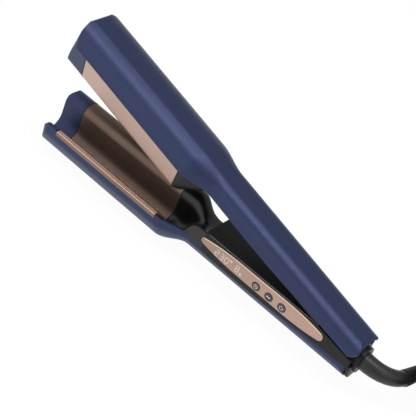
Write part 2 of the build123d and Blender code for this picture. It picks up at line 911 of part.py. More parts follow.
def opening_spring():
    """Torsion spring on the hinge pin that holds the arms open."""
    height = spring_turns * 2.2 * spring_wire_radius
    helix = Helix(pitch=2.2 * spring_wire_radius, height=height, radius=spring_radius)
    start = Plane(origin=helix @ 0, z_dir=helix % 0)
    coil = sweep(start * Circle(spring_wire_radius), path=helix)
    coil = Pos(x_at(hinge_station), height / 2, hinge_height) * Rot(90, 0, 0) * coil
    y = height / 2
    leg = rod(hinge_station + spring_radius, y, hinge_height, spring_wire_radius,
              spring_leg_length * 0.7, (0.1, 0, -1))
    arm = rod(hinge_station + spring_radius, -y, hinge_height, spring_wire_radius,
              spring_leg_length * 0.7, (0.1, 0, 1))
    return coil + leg + arm


def handle_lid():
    """Flat lid over the electronics."""
    gap = 0.1
    return block_between(
        lid_start + gap, lid_end - gap, -lid_half_width + gap, lid_half_width - gap,
        block_top - lid_thickness, block_top,
    )


def end_ring():
    """Black end plate that closes the lower arm and narrows to a collar round the strain relief."""
    face = shell_face(lower_handle, 0.5, band_height + band_rise)
    plate = across(face, cover_length, cover_length + ring_thickness / 2)
    plan = plan_outline(0, cover_length + ring_thickness / 2, handle_half_width - 0.5, 0, 5.0)
    plate = plate & upright(plan, -1, tall)
    start = x_at(cover_length)
    lower_edge = relief_height - tail_radius + 1.0
    plate = plate - sideways(
        make_face(Polyline(
            (start + 1.0, lower_handle_bottom - 1), (start + ring_thickness, lower_edge),
            (start + ring_thickness, lower_handle_bottom - 1), close=True)), -wide, wide)
    collar = rod(cover_length, 0, relief_height, tail_radius - 1.0, ring_thickness, (1, 0, 0))
    bore = rod(cover_length - 1, 0, relief_height, relief_root_radius - 2.5, ring_thickness + 2, (1, 0, 0))
    return plate + collar - bore


# ---------------------------------------------------------------- controls
def control_panel():
    """Leaf-shaped metal panel with holes for the buttons and the digits' window."""
    body = sideways(panel_outline(0), handle_face - panel_proud, panel_back)
    for station in button_stations():
        hole = rod(station, -wide, button_height, button_radius + button_gap, wide, (0, 1, 0))
        body = body - hole
    return body


def push_button(station):
    """A round cap with a flange behind the panel and a stem towards its switch."""
    front = handle_face - panel_proud - button_proud
    flange_front = panel_back + 0.1
    cap = rod(station, front, button_height, button_radius, flange_front - front, (0, 1, 0))
    cap = chamfer(cap.edges().sort_by(Axis.Y)[0], 0.25)
    flange = rod(station, flange_front, button_height, flange_radius, flange_thickness, (0, 1, 0))
    stem = rod(station, flange_front + flange_thickness, button_height, stem_radius, stem_length, (0, 1, 0))
    return cap + flange + stem


def button_switches():
    """One push switch behind each button."""
    switches = []
    for station in button_stations():
        half = switch_size / 2
        back = board_back()
        body = block_between(
            station - half, station + half, back - switch_body_height, back,
            button_height - half, button_height + half,
        )
        plunger = rod(station, back - switch_body_height - plunger_height, button_height,
                      plunger_radius, plunger_height, (0, 1, 0))
        switches.append(body + plunger)
    return switches


def control_board():
    """Circuit board on its two posts."""
    back = board_back()
    body = block_between(board_start, board_end, back, back + board_thickness, board_low, board_high)
    for station in board_post_stations():
        body = body - rod(station, back - 1, panel_middle_height - 0.6, board_screw_radius,
                          board_thickness + 2, (0, 1, 0))
    return body


def board_screws():
    """Screws that hold the board to its posts."""
    screws = []
    face = board_back() + board_thickness
    for station in board_post_stations():
        z = panel_middle_height - 0.6
        head = rod(station, face, z, board_screw_head_radius, board_screw_head_height, (0, 1, 0))
        shank = rod(station, face - board_thickness, z, board_screw_radius, board_thickness, (0, 1, 0))
        screws.append(head + shank)
    return screws


def display_module():
    """The digits' case behind the panel."""
    return display_window(0, panel_back, board_back())


def supply_leads():
    """Two mains wires from the strain relief to the circuit board's end."""
    wires = []
    for side in (-1, 1):
        start = board_end - 6
        z = relief_height - 6 + side * 0.95
        wires.append(rod(start, 0, z, lead_radius, cover_length - start, (1, 0, 0)))
    return wires


# ---------------------------------------------------------------- upper arm's own pieces
def upper_cover():
    """The lower cover's twin with an open butt."""
    cover = arm_cover(upper_handle, (upper_wall_edge, upper_far_edge))
    cover = cover - rounding_cutter(
        cover_length, rim - rim_rise + 0.2, rim_corner_radius, 1, 1, -wide, wide
    )
    for station in liner_screw_stations:
        low = upper_handle.bottom + cover_wall - 0.5
        boss = rod(station, 0, low, liner_boss_radius, liner_floor() - 1.0 - low, (0, 0, 1))
        hole = rod(station, 0, low + 1, screw_shank_radius, tall, (0, 0, 1))
        cover = cover + (boss - hole)
    return cover


def liner_floor():
    """Inside of the liner's pan, before the arm is turned over."""
    return rim - 0.8 - 2.0


def liner_form(end, face):
    """The liner's outer form: a wedge that falls from the wave to a flat pan under the handle."""
    body = housing_blank(upper_handle, (upper_wall_edge, upper_far_edge), waist_start, end, tall - 10)
    flat = [(y, face) for y, z in neck_end_outline]
    stations = [waist_start + run for run in (-1, 5, 11, 17, 23)] + [waist_end + 1]
    slope = height_body(
        wave_outline_points(), flat, stations,
        lambda s: min(max((s - waist_start - 2) / 23, 0), 1),
    )
    rest = block_between(waist_end, cover_length, -wide, wide, -5, face)
    return body & (slope + rest)


def hinge_ear(side):
    """One of the two ears that hang on the hinge pin, with the web that carries it."""
    pin_z = closed_height - hinge_height
    y = side * ear_centre - ear_thickness / 2
    ear = rod(hinge_station, y, pin_z, ear_radius, ear_thickness, (0, 1, 0))
    return ear + block_between(
        hinge_station - ear_radius, hinge_station + ear_radius, y, y + ear_thickness,
        liner_floor(), pin_z,
    )


def upper_liner():
    """Black inner housing: it tapers out of the tongue and closes the handle's underside."""
    end = hinge_station + ear_radius + 3
    face = rim - 0.8
    body = liner_form(end, face)
    side = handle_half_width - cover_wall - 1.9
    body = body - block_between(waist_end + 8, end - 16, -side, side, -5, liner_floor())
    for station in liner_screw_stations:
        well = rod(station, 0, face - screw_head_height, screw_head_radius + 0.2, 5, (0, 0, 1))
        hole = rod(station, 0, 0, screw_shank_radius + 0.1, tall, (0, 0, 1))
        boss = rod(station, 0, liner_floor() + 0.1, screw_head_radius + 1.6, 1.0, (0, 0, -1))
        body = body + boss - well - hole
    body = body - lead_channel(waist_start - 1, waist_end + 9, upper_lead_slope)
    body = body + hinge_ear(-1) + hinge_ear(1)
    pin_z = closed_height - hinge_height
    bore = rod(hinge_station, -wide, pin_z, pin_radius + pin_clearance, 2 * wide, (0, 1, 0))
    return body - bore


def liner_screws():
    """Screws that hold the liner to the upper cover."""
    screws = []
    face = rim - 0.8
    for station in liner_screw_stations:
        seat = face - screw_head_height
        head = rod(station, 0, seat, screw_head_radius, screw_head_height - 0.3, (0, 0, 1))
        low = upper_handle.bottom + cover_wall + 2
        shank = rod(station, 0, low, screw_shank_radius, seat - low, (0, 0, 1))
        screws.append(head + shank)
    return screws


# ---------------------------------------------------------------- strain relief, cord and plug
def relief_frame(length):
    """Centre and direction of the strain relief, which sweeps round to +Y and sinks."""
    start = (x_at(cover_length + ring_thickness), 0.0, relief_height)
    full_turn = radians(relief_bend_angle)
    turn = min(max(length - relief_lead_in, 0) / relief_bend_radius, full_turn)
    run_out = max(length - relief_lead_in - relief_bend_radius * full_turn, 0)
    along = min(length, relief_lead_in) + relief_bend_radius * sin(turn) + run_out * cos(turn)
    over = relief_bend_radius * (1 - cos(turn)) + run_out * sin(turn)
    reach = hypot(length, relief_level_length)
    drop = relief_slope * (reach - relief_level_length)
    slope = relief_slope * length / reach
    point = (start[0] + along, start[1] + over, start[2] - drop)
    return point, (cos(turn), sin(turn), -slope)


def relief_radius(length):
    """Radius of the strain relief along its length."""
    return mix(relief_root_radius, relief_end_radius, length / relief_length)


def strain_relief():
    """Tapered, ribbed rubber sleeve that bends with the lead."""
    sections = []
    for i in range(7):
        length = relief_length * i / 6
        point, direction = relief_frame(length)
        sections.append(Plane(origin=point, z_dir=direction) * Circle(relief_radius(length)))
    body = loft(sections)
    count = int((relief_length - relief_rib_start) / relief_rib_pitch)
    for i in range(count):
        length = relief_rib_start + i * relief_rib_pitch
        point, direction = relief_frame(length)
        radius = relief_radius(length) + relief_rib_height
        body = body + Plane(origin=point, z_dir=direction) * Cylinder(radius, relief_rib_width)
    return body


def walked(start, heading, legs):
    """Points of a route that turns right by so much, runs on and climbs, leg after leg."""
    points = [start]
    for turn, run, climb in legs:
        heading = heading - turn
        x, y = polar(points[-1][:2], run, heading)
        points.append((x, y, max(cord_rest, points[-1][2] + run * climb)))
    return points, heading


def lead_route():
    """The lead sinks from the strain relief to the table, curls right and runs into the coil."""
    exit_point, way = relief_frame(relief_length)
    legs = [(0, route_step, way[2])] + [(route_turn, route_step, lead_slope)] * 3
    legs += [(route_turn, route_step, lead_slope / 2)] * 2
    legs += [(0.7 * route_turn, route_last_step, 0)]
    return walked(exit_point, relief_bend_angle, legs)


def coil_start():
    """Angle, seen from the coil's centre, at which the lead joins its outer turn; and the centre."""
    points, heading = lead_route()
    angle = heading - 0.45 * route_turn + 90
    return angle, polar(points[-1][:2], coil_outer_turn, angle + 180)


def coil_point(angle, radius, z):
    """A point on the coil's outer turn."""
    x, y = polar(coil_start()[1], radius, angle)
    return (x, y, z)


def tail_route():
    """The free end climbs from the coil's top turn and curls inwards, with its plug on the coil."""
    turns = coil_layers * coil_turns_per_layer + (coil_layers - 1) * coil_rise_turns
    angle = coil_start()[0] - 360 * turns
    start = coil_point(angle, coil_outer_turn, coil_height - cord_radius)
    legs = [(route_turn / 2, route_step, tail_slope / 2)]
    legs += [(route_turn + 1, route_step, tail_slope)] * 5 + [(route_turn + 1, route_step, 0.05)]
    return walked(start, angle - 90, legs)


def route_radii(points):
    """Each bend is as large as its two runs allow."""
    radii = []
    for a, b, c in zip(points, points[1:], points[2:]):
        first = Vector(*b) - Vector(*a)
        second = Vector(*c) - Vector(*b)
        turn = radians(first.get_angle(second))
        radii.append(0.45 * min(first.length, second.length) / (sin(turn / 2) / cos(turn / 2)))
    return radii


def tube(points):
    """A round tube along straight runs joined by arcs."""
    radii = route_radii(points)
    print("bend radii", [round(r, 1) for r in radii])
    path = FilletPolyline(*points, radius=radii)
    way = Vector(*points[1]) - Vector(*points[0])
    return sweep(Plane(origin=points[0], z_dir=way) * Circle(cord_radius), path=path)


def cord_coil():
    """Outer shape of the neatly wound lead."""
    x, y = coil_start()[1]
    profile = Pos(coil_mean_radius, coil_height / 2) * RectangleRounded(coil_width, coil_height, 3.2)
    ring = revolve(Plane.XZ * profile, axis=Axis.Z)
    return Pos(x, y, 0) * ring


def cord_tie():
    """Strap round the coil's section, opposite the plug."""
    outer = Pos(0, coil_height / 2 + 0.3, 0) * RectangleRounded(
        coil_width + 2 * tie_thickness, coil_height + 2 * tie_thickness - 0.6, 3.6)
    inner = Pos(0, coil_height / 2, 0) * RectangleRounded(coil_width, coil_height, 3.2)
    x, y, z = coil_point(20, coil_mean_radius, 0)
    away = (cos(radians(20)), sin(radians(20)), 0)
    along = (-sin(radians(20)), cos(radians(20)), 0)
    plane = Plane(origin=(x, y, 0), x_dir=away, z_dir=(-along[0], -along[1], 0))
    if plane.y_dir.Z < 0:
        plane = Plane(origin=(x, y, 0), x_dir=away, z_dir=along)
    return extrude(plane * (outer - inner), amount=tie_width / 2, both=True)


def plug_plane():
    """Where the plug starts, looking along it."""
    points, heading = tail_route()
    way = (cos(radians(heading)), sin(radians(heading)), 0)
    return Plane(origin=points[-1], x_dir=(-way[1], way[0], 0), z_dir=way)


def plug_body():
    """Flat two-pin plug, tapered towards its lead."""
    sections = []
    for along, width, height in ((0, 5.0, 4.4), (10, 8.5, 6.4), (20, plug_half_width, plug_half_height)):
        shape = RectangleRounded(2 * width, 2 * height, min(width, height) * 0.6)
        sections.append(plug_plane() * Pos(0, 0, along) * shape)
    body = loft(sections)
    nose_face = RectangleRounded(2 * plug_half_width, 2 * plug_half_height, plug_half_height * 0.6)
    return body + extrude(plug_plane() * Pos(0, 0, 20) * nose_face, amount=plug_length - 20)


def plug_pins():
    """Two round pins."""
    pins = []
    for side in (-1, 1):
        base = plug_plane() * Pos(side * plug_pin_spacing / 2, 0, plug_length)
        pin = base * Cylinder(
            plug_pin_radius, plug_pin_length, align=(Align.CENTER, Align.CENTER, Align.MIN)
        )
        pins.append(pin)
    return pins


# ---------------------------------------------------------------- write one STEP per node
def write(name, shape):
    """Writes one STEP file with every solid of a node."""
    solids = shape if isinstance(shape, list) else [shape]
    found = []
    for item in solids:
        found.extend(item.solids())
    body = found[0] if len(found) == 1 else Compound(children=found)
    body.label = name
    export_step(body, "parts/" + name + ".step")
    print(name, len(found))


def raised(shape):
    if isinstance(shape, list):
        return [turned_over(item) for item in shape]
    return turned_over(shape)


lower_edges = (lower_near_edge, lower_far_edge)
write("lower_cover", arm_cover(lower_handle, lower_edges))
write("upper_cover", turned_over(upper_cover()))
write("lower_neck", neck())
write("neck_screw", neck_screw())
write("handle_housing", handle_housing())
write("handle_lid", handle_lid())
write("upper_liner", turned_over(upper_liner()))
write("liner_screws", raised(liner_screws()))
write("end_ring", end_ring())

jaw_pieces = {
    "wave_plate": wave_plate(),
    "side_plate": side_plate(),
    "edge_trim": edge_trim(),
    "plate_gaskets": plate_gaskets(),
    "plate_carrier": plate_carrier(),
    "heat_spreader": heat_spreader(),
    "heater": heater_bar(),
    "heater_spring": heater_spring(),
    "thermal_sensor": thermal_sensor(),
}
for piece_name, piece in jaw_pieces.items():
    write("lower_" + piece_name, piece)
    write("upper_" + piece_name, raised(piece))
write("lower_heater_leads", heater_leads(lid_start + 8))
write("upper_heater_leads", raised(heater_leads(waist_end + 10, upper_lead_slope)))

write("control_panel", control_panel())
for button_name, place in zip(("timer_button", "temperature_button", "power_button"), button_stations()):
    write(button_name, push_button(place))
write("button_switches", button_switches())
write("control_board", control_board())
write("board_screws", board_screws())
write("display_module", display_module())
write("supply_leads", supply_leads())

write("hinge_pin", hinge_rod(pin_radius))
write("hinge_washers", hinge_washers())
write("opening_spring", opening_spring())

write("strain_relief", strain_relief())
write("cord", tube(lead_route()[0]))
write("cord_tail", tube(tail_route()[0]))
write("cord_coil", cord_coil())
write("cord_tie", cord_tie())
write("plug_body", plug_body())
write("plug_pins", plug_pins())
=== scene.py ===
import json
import math

import bpy
import numpy as np
from mathutils import Matrix, Vector


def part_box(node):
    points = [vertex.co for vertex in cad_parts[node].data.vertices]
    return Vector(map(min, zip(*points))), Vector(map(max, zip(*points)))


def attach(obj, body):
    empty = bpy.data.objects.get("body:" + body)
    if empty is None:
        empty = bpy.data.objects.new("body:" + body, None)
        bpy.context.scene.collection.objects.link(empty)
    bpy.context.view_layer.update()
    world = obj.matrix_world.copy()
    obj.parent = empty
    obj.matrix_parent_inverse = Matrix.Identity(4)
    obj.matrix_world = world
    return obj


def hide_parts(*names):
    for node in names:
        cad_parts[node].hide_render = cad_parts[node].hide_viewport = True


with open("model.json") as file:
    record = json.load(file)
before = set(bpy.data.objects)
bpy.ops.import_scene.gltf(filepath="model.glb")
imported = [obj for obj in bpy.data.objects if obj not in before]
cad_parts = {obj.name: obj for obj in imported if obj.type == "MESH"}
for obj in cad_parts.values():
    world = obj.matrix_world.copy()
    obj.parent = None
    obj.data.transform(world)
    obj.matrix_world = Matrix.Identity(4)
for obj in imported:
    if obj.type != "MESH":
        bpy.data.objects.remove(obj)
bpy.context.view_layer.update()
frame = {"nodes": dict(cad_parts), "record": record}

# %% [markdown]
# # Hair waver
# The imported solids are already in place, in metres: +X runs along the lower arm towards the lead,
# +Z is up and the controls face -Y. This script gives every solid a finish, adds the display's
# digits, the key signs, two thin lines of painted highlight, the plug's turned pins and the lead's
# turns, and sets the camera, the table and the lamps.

MM = 0.001
nodes = frame["nodes"]

# %% [markdown]
# ## The camera
# A long thin tool is seen from far off through a long lens, so that the near end doesn't look
# swollen. The camera could be turned by three angles. Its own axes are plainer to read: right, up
# and back are three directions square to each other, and with the place they make its matrix.
# The Standard view shows every colour as it was reckoned, with no film look over it.


# %% A helper for new objects
def in_scene(name, data):
    """A new object that holds the data, linked into the scene."""
    made = bpy.data.objects.new(name, data)
    bpy.context.scene.collection.objects.link(made)
    return made


# %% Camera
camera_place = (0.26818, -0.51788, 0.51629)
camera_right = (0.72117, 0.63272, 0.28209)
camera_up = (-0.59267, 0.35268, 0.72412)
camera_back = (0.35868, -0.68941, 0.62934)
lens_mm = 90.39

camera_data = bpy.data.cameras.new("camera")
camera_data.lens = lens_mm
camera_data.sensor_width = 36.0
camera_data.clip_end = 10.0
camera = in_scene("camera", camera_data)
columns = np.array([camera_right, camera_up, camera_back, camera_place])
camera.matrix_world = Matrix(np.vstack([columns.T, (0, 0, 0, 1)]).tolist())
bpy.context.scene.camera = camera
bpy.context.scene.view_settings.view_transform = "Standard"
print("camera at", camera_place, "lens", lens_mm)

# %% [markdown]
# ## Colours
# Colours are written as they look on a screen, from 0 to 255, and turned into the linear values
# that a shader counts with. Below a small limit the curve is a straight line, above it a power.


# %% Colour helper
def screen(r, g, b):
    """Linear colour: each part is (v + 0.055) / 1.055 to the power 2.4, or v / 12.92 when dark."""
    values = np.array([r, g, b]) / 255
    linear = np.where(values > 0.04045, ((values + 0.055) / 1.055) ** 2.4, values / 12.92)
    return (*[float(v) for v in linear], 1.0)


print("middle grey is", [round(v, 3) for v in screen(128, 128, 128)])

# %% [markdown]
# ## Effects for the finishes
# Lacquer, moulded plastic and anodised metal are never quite even. An effect is a small group of
# nodes that gives a mask, which changes over the surface, and a colour that follows the mask. It
# could be drawn anew in every material. As a group it is drawn once, and each finish sets its own
# colour and amount. The shader itself stays in the material.


# %% Helpers for single nodes
def reckoned(tree, operation, first, second=0.0):
    """The outcome of one Math node. The second number is a constant or another node's outcome."""
    node = tree.nodes.new("ShaderNodeMath")
    node.operation = operation
    tree.links.new(first, node.inputs[0])
    if isinstance(second, float):
        node.inputs[1].default_value = second
    else:
        tree.links.new(second, node.inputs[1])
    return node.outputs[0]


def ramp(tree, source, low, high):
    """(source - low) / (high - low), held between 0 and 1."""
    node = tree.nodes.new("ShaderNodeMapRange")
    node.inputs["From Min"].default_value = low
    node.inputs["From Max"].default_value = high
    tree.links.new(source, node.inputs["Value"])
    return node.outputs["Result"]


def along_axis(tree, vector, axis):
    """The X, Y or Z part of a place."""
    split = tree.nodes.new("ShaderNodeSeparateXYZ")
    tree.links.new(vector, split.inputs[0])
    return split.outputs[axis]


def noise_in(tree, vector, scale, stretch=(1, 1, 1), detail=3.0):
    """Noise at the place times the stretch: a small stretch draws it out along that axis."""
    mapping = tree.nodes.new("ShaderNodeMapping")
    mapping.inputs["Scale"].default_value = stretch
    noise = tree.nodes.new("ShaderNodeTexNoise")
    noise.inputs["Scale"].default_value = scale
    noise.inputs["Detail"].default_value = detail
    tree.links.new(vector, mapping.inputs["Vector"])
    tree.links.new(mapping.outputs["Vector"], noise.inputs["Vector"])
    return noise.outputs["Fac"]


# %% Helpers for whole effects
def open_effect(name):
    """An empty effect and its inputs: a place on the piece, a colour and an amount."""
    effect = bpy.data.node_groups.new(name, "ShaderNodeTree")
    for socket, kind, value in [
        ("Vector", "NodeSocketVector", (0, 0, 0)),
        ("Color", "NodeSocketColor", (0.5, 0.5, 0.5, 1)),
        ("Amount", "NodeSocketFloat", 0.2),
    ]:
        made = effect.interface.new_socket(socket, in_out="INPUT", socket_type=kind)
        made.default_value = value
    effect.interface.new_socket("Color", in_out="OUTPUT", socket_type="NodeSocketColor")
    effect.interface.new_socket("Mask", in_out="OUTPUT", socket_type="NodeSocketFloat")
    return effect, effect.nodes.new("NodeGroupInput")


def close_effect(effect, given, mask, ground=None):
    """Puts out the mask, and the colour with its brightness times 1 + (mask - 0.5) * amount. The
    colour is the one given to the effect, or a ground that the effect has made from it."""
    centred = reckoned(effect, "SUBTRACT", mask, 0.5)
    scaled = reckoned(effect, "MULTIPLY", centred, given.outputs["Amount"])
    brightness = reckoned(effect, "ADD", scaled, 1.0)
    shade = effect.nodes.new("ShaderNodeHueSaturation")
    given_back = effect.nodes.new("NodeGroupOutput")
    effect.links.new(brightness, shade.inputs["Value"])
    effect.links.new(ground or given.outputs["Color"], shade.inputs["Color"])
    effect.links.new(shade.outputs["Color"], given_back.inputs["Color"])
    effect.links.new(mask, given_back.inputs["Mask"])
    print("effect", effect.name, "nodes", len(effect.nodes))


# %% [markdown]
# ## Clouds, grain and drawn lines
# Sprayed lacquer varies in wide soft clouds, and moulded plastic has a grain as fine as dust.
# Brushing leaves lines in the metal. All three are noise: at a low scale, at a high one, and drawn
# out up and down the tool's sides to thirty times its width.

# %% The cloudy tint
cloud, given = open_effect("cloudy_tint")
close_effect(cloud, given, noise_in(cloud, given.outputs["Vector"], 28.0))

# %% The fine grain
grain, given = open_effect("fine_grain")
close_effect(grain, given, noise_in(grain, given.outputs["Vector"], 2600.0, detail=2.0))

# %% The drawn lines
lines, given = open_effect("drawn_lines")
drawn_out = (5.0, 5.0, 0.16)
line_mask = noise_in(lines, given.outputs["Vector"], 420.0, stretch=drawn_out, detail=4.0)
close_effect(lines, given, line_mask)

# %% [markdown]
# ## The ridges of the edge trims
# The folded trims over the thin walls are rolled with fine grooves, and shadow keeps the grooves
# darker than the lit ridges. The solids have the grooves, but they are too narrow to show from far
# off, so the finish paints the light and shade on: painted shade in each groove and a painted
# highlight on each ridge. Ping-pong makes a number that goes up and down over each pitch, and a
# steep ramp turns it into a painted dark groove or a painted bright ridge.

# %% The rolled ridges
trim_low, trim_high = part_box("lower_edge_trim")
trim_outer, trim_inner = -trim_low[1], -trim_high[1]
ridge_pitch = 0.32 * (trim_outer - trim_inner)
first_groove = trim_inner + 0.36 * (trim_outer - trim_inner)

ridges, given = open_effect("rolled_ridges")
from_middle = reckoned(ridges, "ABSOLUTE", along_axis(ridges, given.outputs["Vector"], "Y"))
from_groove = reckoned(ridges, "SUBTRACT", from_middle, first_groove)
up_and_down = reckoned(ridges, "PINGPONG", from_groove, ridge_pitch / 2)
# The mask brightens each ridge and darkens each groove: painted highlight and painted shade.
painted_ridge_shading_mask = ramp(ridges, up_and_down, 0.16 * ridge_pitch, 0.26 * ridge_pitch)
close_effect(ridges, given, painted_ridge_shading_mask)
print("ridge pitch", round(ridge_pitch / MM, 2), "mm")

# %% [markdown]
# ## The tone of the control panel
# The panel is brushed like the other gold parts, and its colour grows paler along the handle, from
# the display towards the keys. It is the brushed effect first and a ramp along the handle over it.

# %% The tone along the panel
tone_start, tone_end = 10 * MM, 90 * MM
tone, given = open_effect("tone_along")
brushed = tone.nodes.new("ShaderNodeGroup")
brushed.node_tree = lines
brushed.inputs["Amount"].default_value = 0.16
tone.links.new(given.outputs["Vector"], brushed.inputs["Vector"])
tone.links.new(given.outputs["Color"], brushed.inputs["Color"])
tone_mask = ramp(tone, along_axis(tone, given.outputs["Vector"], "X"), tone_start, tone_end)
close_effect(tone, given, tone_mask, ground=brushed.outputs["Color"])

# %% [markdown]
# ## Finishes
# A finish is a Principled shader with constant numbers on its own sockets. An effect feeds its
# colour, and where it is asked for, the same effect's mask feeds a very low bump. Gloss comes from
# a low roughness, or from a clear coat over a rougher ground.

# %% The finish builder
coat_haze = 0.1
bump_depth = 0.1 * MM


def finish(name, colour, roughness, effect, amount, metallic=0.0, specular=0.5, coat=0.0, bump=0.0):
    """A material whose colour follows the effect, and whose bump, if any, follows its mask."""
    material = bpy.data.materials.new(name)
    material.use_nodes = True
    tree = material.node_tree
    shader = tree.nodes["Principled BSDF"]
    shader.inputs["Roughness"].default_value = roughness
    shader.inputs["Metallic"].default_value = metallic
    shader.inputs["Specular IOR Level"].default_value = specular
    shader.inputs["Coat Weight"].default_value = coat
    shader.inputs["Coat Roughness"].default_value = coat_haze
    place = tree.nodes.new("ShaderNodeTexCoord")
    tint = tree.nodes.new("ShaderNodeGroup")
    tint.node_tree = effect
    tint.inputs["Color"].default_value = colour
    tint.inputs["Amount"].default_value = amount
    tree.links.new(place.outputs["Object"], tint.inputs["Vector"])
    tree.links.new(tint.outputs["Color"], shader.inputs["Base Color"])
    if bump:
        height = tree.nodes.new("ShaderNodeBump")
        height.inputs["Strength"].default_value = bump
        height.inputs["Distance"].default_value = bump_depth
        tree.links.new(tint.outputs["Mask"], height.inputs["Height"])
        tree.links.new(height.outputs["Normal"], shader.inputs["Normal"])
    return material


# %% [markdown]
# ## One finish for each material
# The covers are a metallic blue lacquer, half metal in the shader, so that the light on them stays
# blue. The gold parts are anodised aluminium, between paint and bare metal. The housing is a satin
# black plastic, and only its neck and keys are glossy. What lies inside is plain.

# %% Finishes that are seen
slate_blue = screen(49, 57, 90)
rose_gold = screen(196, 166, 152)
plate_brown = screen(110, 90, 79)
finishes = {
    "blue_shell": finish(
        "blue_lacquer", slate_blue, 0.42, cloud, 0.06, metallic=0.55, specular=0.4),
    "gloss_black": finish(
        "gloss_black_housing", screen(10, 10, 11), 0.33, cloud, 0.2),
    "satin_black": finish(
        "satin_black_housing", screen(21, 21, 21), 0.45, grain, 0.25, specular=0.28, bump=0.2),
    "gloss_key": finish(
        "gloss_key", screen(18, 17, 19), 0.16, cloud, 0.2, coat=0.5),
    "dark_ceramic": finish(
        "ceramic_plate", plate_brown, 0.4, cloud, 0.3, metallic=0.75),
    "rose_gold": finish(
        "rose_gold_anodising", rose_gold, 0.36, lines, 0.14, metallic=0.6, bump=0.1),
    "panel_gold": finish(
        "panel_gold", screen(178, 148, 134), 0.36, tone, 0.28, metallic=0.6),
    # Painted shade in the trims' grooves and painted highlight on their ridges.
    "ridged_gold": finish(
        "ridged_gold_trim", screen(190, 156, 140), 0.36, ridges, 1.15, metallic=0.4, bump=0.5),
    "cord_rubber": finish(
        "cord_rubber", screen(26, 26, 28), 0.4, grain, 0.25, bump=0.35),
    "brass": finish(
        "plated_pins", screen(205, 196, 176), 0.25, lines, 0.08, metallic=1.0),
}
print("finishes that are seen", len(finishes))

# %% Finishes inside the tool
finishes.update({
    "silicone": finish(
        "black_silicone", screen(24, 23, 24), 0.6, grain, 0.2, bump=0.3),
    "heat_plastic": finish(
        "heat_plastic", screen(52, 49, 47), 0.55, grain, 0.25, bump=0.3),
    "aluminium": finish(
        "extruded_aluminium", screen(200, 200, 204), 0.3, lines, 0.12, metallic=1.0, bump=0.1),
    "ceramic_white": finish(
        "fired_ceramic", screen(225, 221, 212), 0.5, grain, 0.08, bump=0.2),
    "steel": finish(
        "plain_steel", screen(168, 168, 172), 0.28, lines, 0.1, metallic=1.0),
    "wire_red": finish(
        "silicone_wire", screen(150, 30, 24), 0.5, grain, 0.15, bump=0.2),
    "board_green": finish(
        "solder_mask", screen(26, 82, 46), 0.35, cloud, 0.2, coat=0.3),
    "display_grey": finish(
        "display_case", screen(96, 96, 100), 0.5, grain, 0.15, bump=0.2),
})
print("finishes in all", len(finishes))

# %% [markdown]
# ## Each solid gets its finish
# The record of the part names a material for every solid, and most take the finish of that name.
# The keys, the edge trims and the control panel are special cases of their material.

# %% Dress the solids
slot_of = {part["node"]: part["material_slot"] for part in frame["record"]["subparts"]}
slot_of.update(dict.fromkeys(["timer_button", "temperature_button", "power_button"], "gloss_key"))
slot_of.update(dict.fromkeys(["lower_edge_trim", "upper_edge_trim"], "ridged_gold"))
slot_of["control_panel"] = "panel_gold"
for name, node in nodes.items():
    node.data.materials.clear()
    node.data.materials.append(finishes[slot_of[name]])
print("dressed solids", len(nodes))

# %% [markdown]
# ## New pieces
# A piece made here is a mesh of points and faces. Its points are worked out where they lie on the
# tool, in millimetres. The object that holds them stays at the origin, as the solids' objects do:
# it could be moved there instead, but then a pattern on its own coordinates would slide with it.


# %% A helper for new pieces
def mesh_piece(name, points, faces, *materials):
    """A piece from points in millimetres: each is times 0.001 to come to metres."""
    mesh = bpy.data.meshes.new(name)
    mesh.from_pydata((points * MM).tolist(), [], faces)
    for material in materials:
        mesh.materials.append(material)
    return in_scene(name, mesh)


# %% [markdown]
# ## Signs on the panel and keys
# The lit digits and the white key signs are thin flat figures on the panel and the keys. They could
# be painted on the surface as dots of colour, but dots blur when the camera comes near. Each is a
# ribbon here: a line is drawn in the plane of the panel and widened to both sides, square to its
# way.

# %% Ink and light
ink = finish("white_ink", screen(214, 213, 210), 0.5, grain, 0.05)
glow = finish("lit_digits", screen(238, 228, 218), 0.5, grain, 0.05)
glow_shader = glow.node_tree.nodes["Principled BSDF"]
glow_shader.inputs["Emission Color"].default_value = screen(255, 244, 232)
glow_shader.inputs["Emission Strength"].default_value = 0.12
print("sign materials", ink.name, glow.name)


# %% Ribbon helpers
def unit_rows(rows):
    """Each row divided by its own length."""
    return rows / np.linalg.norm(rows, axis=1)[:, None]


def ribbon(points, width):
    """Two rows of points, one on each side of a line: the line plus or minus half the width times
    the direction square to it. Where two runs meet, the directions of both are averaged."""
    line = np.array(points, float)
    runs = unit_rows(np.diff(line, axis=0))
    way = unit_rows(np.vstack([runs, runs[-1:]]) + np.vstack([runs[:1], runs]))
    aside = np.stack([-way[:, 1], way[:, 0]], axis=1) * width / 2
    count = len(line)
    i = np.arange(count - 1)
    faces = np.stack([i, i + 1, i + 1 + count, i + count], axis=1)
    return np.vstack([line - aside, line + aside]), faces


def ring(centre, radius, start=0.0, end=360.0, count=28):
    """Points round a circle: centre plus radius times the cosine and sine of each angle."""
    angles = np.radians(np.linspace(start, end, count))
    return np.array(centre) + radius * np.stack([np.cos(angles), np.sin(angles)], axis=1)


# %% Sign helper
sign_thickness = 0.06


def sign(name, ribbons, face_y, body, material):
    """Lays ribbons, given in X and Z, on a plane that faces -Y. Solidify makes them one thin closed
    piece, and it rides with its body."""
    points, faces, count = [], [], 0
    for flat, quads in ribbons:
        points.append(flat)
        faces.append(quads + count)
        count += len(flat)
    x, z = np.vstack(points).T
    laid = np.stack([x, np.full(count, face_y), z], axis=1)
    piece = mesh_piece(name, laid, np.vstack(faces).tolist(), material)
    thick = piece.modifiers.new("thickness", "SOLIDIFY")
    thick.thickness = sign_thickness * MM
    thick.offset = 1.0
    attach(piece, body)
    print(name, count, "points on", body)


# %% [markdown]
# ## The display's digits
# Lit digits on such tools are made of seven bars. A digit is a choice of bars on a small leaning
# frame. The bars stop a little short of each other, as the lamp's windows do.

